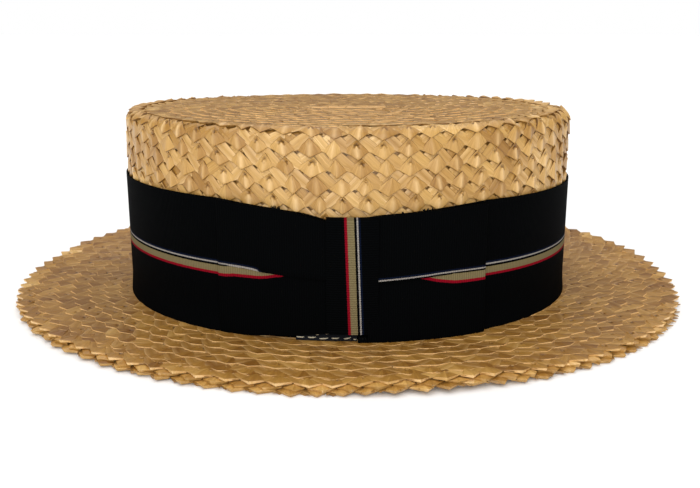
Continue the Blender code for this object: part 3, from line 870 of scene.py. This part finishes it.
def wing(name, side, pleat, shift, material, thick):
    """One loop of the bow: its front ply with the pleat, the outer fold, and its back ply.

    shift is how far, in mm, the loop's stripe is off the band's.
    """
    columns = 34
    front = 2.1 * MM
    back = 0.75 * MM
    reach = WING_LENGTH - 0.9 * MM
    along_front = 6 * MM + (reach - 6 * MM) * np.linspace(0, 1, columns)
    along_back = along_front[::-1][::3]
    bend = np.linspace(0, math.pi, 7)[1:-1]
    middle = (front + back) / 2
    half = (front - back) / 2
    along = np.concatenate([along_front, reach + half * np.sin(bend), along_back])
    depth = np.concatenate([np.full(columns, front), middle + half * np.cos(bend),
                            np.full(len(along_back), back)])
    is_front = np.concatenate([np.ones(columns), 0.5 + 0.5 * np.cos(bend),
                               np.zeros(len(along_back))])
    # The knot's stitches gather the ribbon, so its edges run together towards the knot
    share = np.clip(1 - along / WING_LENGTH, 0, 1)
    if side < 0:
        low = BAND_LOW.z - 1.9 * MM + 4.6 * MM * share
        high = BAND_HIGH.z + (0.3 - 4.6 * share - 2.3 * smooth_step(0.45, 0.85, share)) * MM
    else:
        low = BAND_LOW.z - 1.9 * MM + 1.1 * MM * share
        high = BAND_HIGH.z - (1.2 + 3.2 * share + 1.9 * smooth_step(0.85, 0.98, share)) * MM
    low = np.maximum(low, RIBBON_FOOT)
    marks, *shapes = np.multiply(pleat, MM).T
    tuck, edge, folds = (np.interp(along, marks, shape) for shape in shapes)
    tuck = 0.1 * MM + (tuck - 0.1 * MM) * is_front
    lip = 1.1 * MM * np.clip(tuck / (1.5 * MM), 0, 1)
    # The section runs from the top edge down to the fold, back up behind it, and on down
    points = []
    across = []
    for start, deep, top, bottom, deepest, fold, fold_at, out in zip(
            along, depth, high, low, tuck, edge, folds, lip):
        rises = [top, fold + 0.4 * MM, fold, fold + 0.1 * MM, fold + deepest,
                 fold + deepest - 0.1 * MM, fold - 0.4 * MM, bottom]
        outs = [0.2 * out, out, 0.9 * out, 0.55 * out, 0.5 * out, 0.1 * out,
                0.0, (1.2 + 1.2 * side) * MM]
        spans = [RIBBON_WIDTH, fold_at + 0.4 * MM, fold_at, fold_at - 0.1 * MM,
                 fold_at - deepest, fold_at - deepest - 0.1 * MM,
                 fold_at - 2 * deepest - 0.4 * MM, 0.0]
        rise, out, span = (np.interp(np.arange(PLEAT_ROWS[-1] + 1), PLEAT_ROWS, values)
                           for values in (rises, outs, spans))
        x, y = bow_point(BOW_MIDDLE + side * start, BAND_RADIUS + deep + out)
        points.append(points_at(x, y, rise))
        across.append(span + shift * MM)
    run = np.append(0, np.cumsum(np.hypot(np.diff(along), np.diff(depth))))[:, None]
    turned = slice(None, None, -side)
    return cloth_grid(name, np.array(points)[turned, ::-1], np.array(across)[turned, ::-1],
                      run[turned], material, thick)


class HAT_OT_bow(bpy.types.Operator):
    """Fold the flat bow: two wings, and the wrap over their middle"""
    bl_idname = "hat.bow"
    bl_label = "Fold the bow"

    def execute(self, context):
        sizes = context.scene.boater_sizes
        ribbon = grosgrain()
        for name, side, pleat, shift, node_name in (
                ("bow_left_loop", -1, LEFT_PLEAT, 0.0, "bow_left_wing"),
                ("bow_right_loop", 1, RIGHT_PLEAT, 0.8, "bow_right_wing")):
            piece = wing(name, side, pleat, shift, ribbon, sizes.ribbon)
            dress(piece, "black_grosgrain", node_name)
        across = np.linspace(KNOT_LOW.x, KNOT_HIGH.x, 21)[:, None]
        share = np.linspace(0, 1, 41)[None, :]
        low = KNOT_LOW.z + 0.5 * MM
        high = KNOT_HIGH.z - 2.0 * MM
        rise = low + (high - low) * np.clip(share * 1.10 - 0.05, 0, 1)
        # Its ends turn in under the bow, and its sides curve back a little
        depth = 4.0 * MM - 3.2 * MM * (np.clip((0.05 - share) / 0.05, 0, 1)
                                       + np.clip((share - 0.95) / 0.05, 0, 1))
        depth = depth - 0.5 * MM * np.abs(across - BOW_MIDDLE) ** 2 / (9.8 * MM) ** 2
        x, y = bow_point(across, BAND_RADIUS + depth)
        # Its stripe, a selvedge, leans over by about two degrees
        width = across + 21.9 * MM - 1.1 * MM * (40 * MM - rise) / (31 * MM)
        knot = cloth_grid("bow_wrap", points_at(x, y, rise), width, rise, ribbon, sizes.ribbon)
        dress(knot, "black_grosgrain", "bow_knot")
        return {"FINISHED"}


def thread_mesh(name, runs, thickness, material):
    """Short lengths of thread, each a tapered closed tube along its points."""
    sides = 5
    points = []
    faces = []
    for run in np.array(runs):
        start = len(points)
        last = len(run) - 1
        for k, centre in enumerate(run):
            ahead = run[min(k + 1, last)] - run[max(k - 1, 0)]
            ahead = ahead / np.linalg.norm(ahead)
            side = np.cross(ahead, (0.31, 0.17, 0.93))
            side = side / np.linalg.norm(side)
            over = np.cross(ahead, side)
            half = thickness / 2 * (0.45 if k in (0, last) else 1.0)
            for turn in np.arange(sides) * 2 * math.pi / sides:
                points.append(centre + half * (math.cos(turn) * side + math.sin(turn) * over))
        for low in range(start, start + sides * last, sides):
            for j in range(sides):
                after = (j + 1) % sides
                faces.append([low + j, low + after, low + sides + after, low + sides + j])
        faces.append([start + j for j in reversed(range(sides))])
        faces.append([start + sides * last + j for j in range(sides)])
    mesh = bpy.data.meshes.new(name)
    mesh.from_pydata([tuple(point) for point in points], [], faces)
    return smooth_by_angle(add_piece(name, mesh, material), 50)


def on_band(across, out, rise):
    """A point before the band, in metres from mm."""
    return np.array([*bow_point(across * MM, BAND_RADIUS + out * MM), rise * MM])


FLARED = 0.42       # the share of the tape's height that turns out over the brim
# The tape's stitches, in mm but for the third: left end, right end, how high they sit as a
# share of the tape's height, and how much their right end rises.
STITCHES = ((-20.0, -16.7, 0.09, 0.0), (-15.5, -12.3, 0.09, 0.1), (-11.0, -7.5, 0.06, 0.3),
            (-6.4, -3.3, 0.08, 0.1), (-1.6, 1.3, 0.06, 0.7), (2.2, 3.5, 0.06, -0.1),
            (-12.4, -10.9, 0.19, 0.1), (-9.0, -5.5, 0.22, 0.1), (13.2, 15.4, 0.07, 0.1))
# Where the ribbon frays, in mm but for the fifth: from, to, height, how far before the band,
# how many threads, and how long the longest is. Those on an upper edge start on that edge.
FRAYS = ((-50.8, -45.0, 53.6, 1.0, 40, 1.3), (-28.5, -25.4, 51.6, 1.8, 24, 1.9),
         (-44.0, -30.0, 52.9, 1.2, 8, 0.8), (4.5, 14.5, 2.4, 3.6, 34, 0.9),
         (20.0, 52.0, 52.6, 1.2, 10, 0.7))


class HAT_OT_threads(bpy.types.Operator):
    """Sew the tape's stitches and let the ribbon's cut edges fray"""
    bl_idname = "hat.threads"
    bl_label = "Sew and fray"

    def execute(self, context):
        colours = context.scene.boater_colours
        stitches = []
        for left, right, share, turn in STITCHES:
            depth = 0.55 + 2.2 * max(0, 1 - share / FLARED) ** 2
            rise = 1.4 + 10.5 * share
            middle = (left + right) / 2
            stitches.append([on_band(left, depth - 0.3, rise),
                             on_band((left + middle) / 2, depth + 0.1, rise + 0.3 * turn),
                             on_band((right + middle) / 2, depth + 0.1, rise + 0.7 * turn),
                             on_band(right, depth - 0.3, rise + turn)])
        sewn = thread_mesh("tape_stitches", stitches, 0.5 * MM,
                           plain_cloth("cream cotton thread", colours.thread))
        dress(sewn, "grey_tape")
        random = np.random.RandomState(61)
        frays = []
        for low, high, rise, out, count, reach in FRAYS:
            sign = -1 if rise < 10 else 1
            for _ in range(count):
                across = random.uniform(low, high)
                base = rise + 0.9
                if sign > 0:
                    share = max(0.0, 1 - abs(across - BOW_MIDDLE / MM) / (WING_LENGTH / MM))
                    base = BAND_HIGH.z / MM - 4.6 * share - 0.5
                tip = random.uniform(0.5, 1.0) * reach
                lean = random.uniform(-0.7, 0.7)
                frays.append([on_band(across, out, base),
                              on_band(across + lean * 0.4, out + 0.2, base + sign * tip * 0.6),
                              on_band(across + lean, out + random.uniform(0.1, 0.6),
                                      base + sign * (0.5 + tip))])
        loose = thread_mesh("ribbon_frays", frays, 0.45 * MM,
                            plain_cloth("black cotton thread", colours.ribbon_black))
        dress(loose, "black_grosgrain")
        return {"FINISHED"}


class HAT_OT_foot(bpy.types.Operator):
    """Lay the stitched tape and the ribbon's end under the bow"""
    bl_idname = "hat.foot"
    bl_label = "Lay the tape under the bow"

    def execute(self, context):
        tape = plain_cloth("grey cotton tape", context.scene.boater_colours.tape)
        for name, node_name, slot, flare, material in (
                ("stitched_tape", "edge_strip", "grey_tape", 2.2 * MM, tape),
                ("ragged_ribbon_end", "band_end", "black_grosgrain", 4.4 * MM, grosgrain())):
            low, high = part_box(node_name)
            across = np.linspace(low.x, high.x, 25)[:, None]
            share = np.linspace(0, 1, 9)[None, :]
            # Behind the bow it lies on the band, and its lower edge turns out over the brim
            out = 0.25 * MM + flare * np.clip(1 - share / FLARED, 0, 1) ** 2
            x, y = bow_point(across, BAND_RADIUS + out)
            rise = BAND_LOW.z + (-0.9 + 10.5 * share) * MM
            piece = cloth_grid(name, points_at(x, y, rise), rise, across, material, 0.25 * MM)
            dress(piece, slot, node_name)
        return {"FINISHED"}


class HAT_OT_stage(bpy.types.Operator):
    """Set the pale floor, the studio light and the camera"""
    bl_idname = "hat.stage"
    bl_label = "Set the stage"

    def execute(self, context):
        scene = context.scene
        bpy.ops.object.select_all(action="DESELECT")
        bpy.ops.mesh.primitive_plane_add(size=80.0)
        floor = context.object
        floor.name = "floor"
        bpy.ops.object.transform_apply(location=True, rotation=True, scale=True)
        # Matt paper, so pale that it shows no more than the hat's soft shadow
        paper, tree, shader = new_material("white paper")
        fill(tree, shader, {"Base Color": (0.93, 0.93, 0.93, 1), "Roughness": 0.9,
                            "Specular IOR Level": 0.0})
        floor.data.materials.append(paper)
        world = bpy.data.worlds.new("studio")
        world.use_nodes = True
        tree = world.node_tree
        # A dim room with a bright low horizon, so that the far floor ends in white
        ray = node(tree, "TexCoord").outputs["Generated"]
        _, _, up = node(tree, "SeparateXYZ", {"Vector": ray}).outputs
        dim = node(tree, "MapRange", {"Value": up, "From Min": 0.037, "From Max": 0.055,
                                      "To Min": 1.0, "To Max": 0.12})
        fill(tree, tree.nodes["Background"], {"Color": (1, 1, 1, 1), "Strength": dim})
        scene.world = world
        for name, aim, width, power in (
                ("key", (0.12, 1.0, -0.20), 70, 2.7),
                ("fill", (-0.9, 0.3, -0.5), 90, 0.15),
                ("edge", (0.9, -0.2, -0.7), 90, 0.15),
                ("top", (0.0, -0.1, -1.0), 100, 2.5)):
            light = bpy.data.lights.new(name, "SUN")
            light.angle = math.radians(width)
            light.energy = power
            lamp = bpy.data.objects.new(name, light)
            lamp.rotation_euler = Vector(aim).to_track_quat("-Z", "Y").to_euler()
            scene.collection.objects.link(lamp)
        camera = bpy.data.cameras.new("camera")
        camera.lens = 42.3
        camera.sensor_width = 36.0
        camera.shift_x = 0.0034
        camera.clip_start = 0.01
        camera.clip_end = 50.0
        eye = bpy.data.objects.new("camera", camera)
        eye.location = (0.0, -0.390, 0.1165)
        eye.rotation_euler = (math.radians(90 - 14.37), 0.0, 0.0)
        scene.collection.objects.link(eye)
        scene.camera = eye
        scene.view_settings.view_transform = "Standard"
        return {"FINISHED"}


class HAT_PT_panel(bpy.types.Panel):
    """The hat's pieces, sizes and colours"""
    bl_idname = "HAT_PT_panel"
    bl_label = "Boater hat"
    bl_space_type = "VIEW_3D"
    bl_region_type = "UI"
    bl_category = "Boater"

    def draw(self, context):
        for step in STEPS:
            self.layout.operator(step.bl_idname)
        for group in (context.scene.boater_sizes, context.scene.boater_colours):
            box = self.layout.box()
            for key in group.__annotations__:
                box.prop(group, key)


STEPS = (HAT_OT_crown, HAT_OT_brim, HAT_OT_brim_edge, HAT_OT_band, HAT_OT_bow, HAT_OT_foot,
         HAT_OT_threads, HAT_OT_stage)
CLASSES = (BoaterSizes, BoaterColours, *STEPS, HAT_PT_panel)


def register():
    for kind in CLASSES:
        bpy.utils.register_class(kind)
    bpy.types.Scene.boater_sizes = bpy.props.PointerProperty(type=BoaterSizes)
    bpy.types.Scene.boater_colours = bpy.props.PointerProperty(type=BoaterColours)


def unregister():
    del bpy.types.Scene.boater_colours
    del bpy.types.Scene.boater_sizes
    for kind in reversed(CLASSES):
        bpy.utils.unregister_class(kind)


def main():
    register()
    bpy.ops.hat.crown()
    bpy.ops.hat.brim()
    bpy.ops.hat.brim_edge()
    bpy.ops.hat.band()
    bpy.ops.hat.bow()
    bpy.ops.hat.foot()
    bpy.ops.hat.threads()
    bpy.ops.hat.stage()


if __name__ == "__main__":
    main()
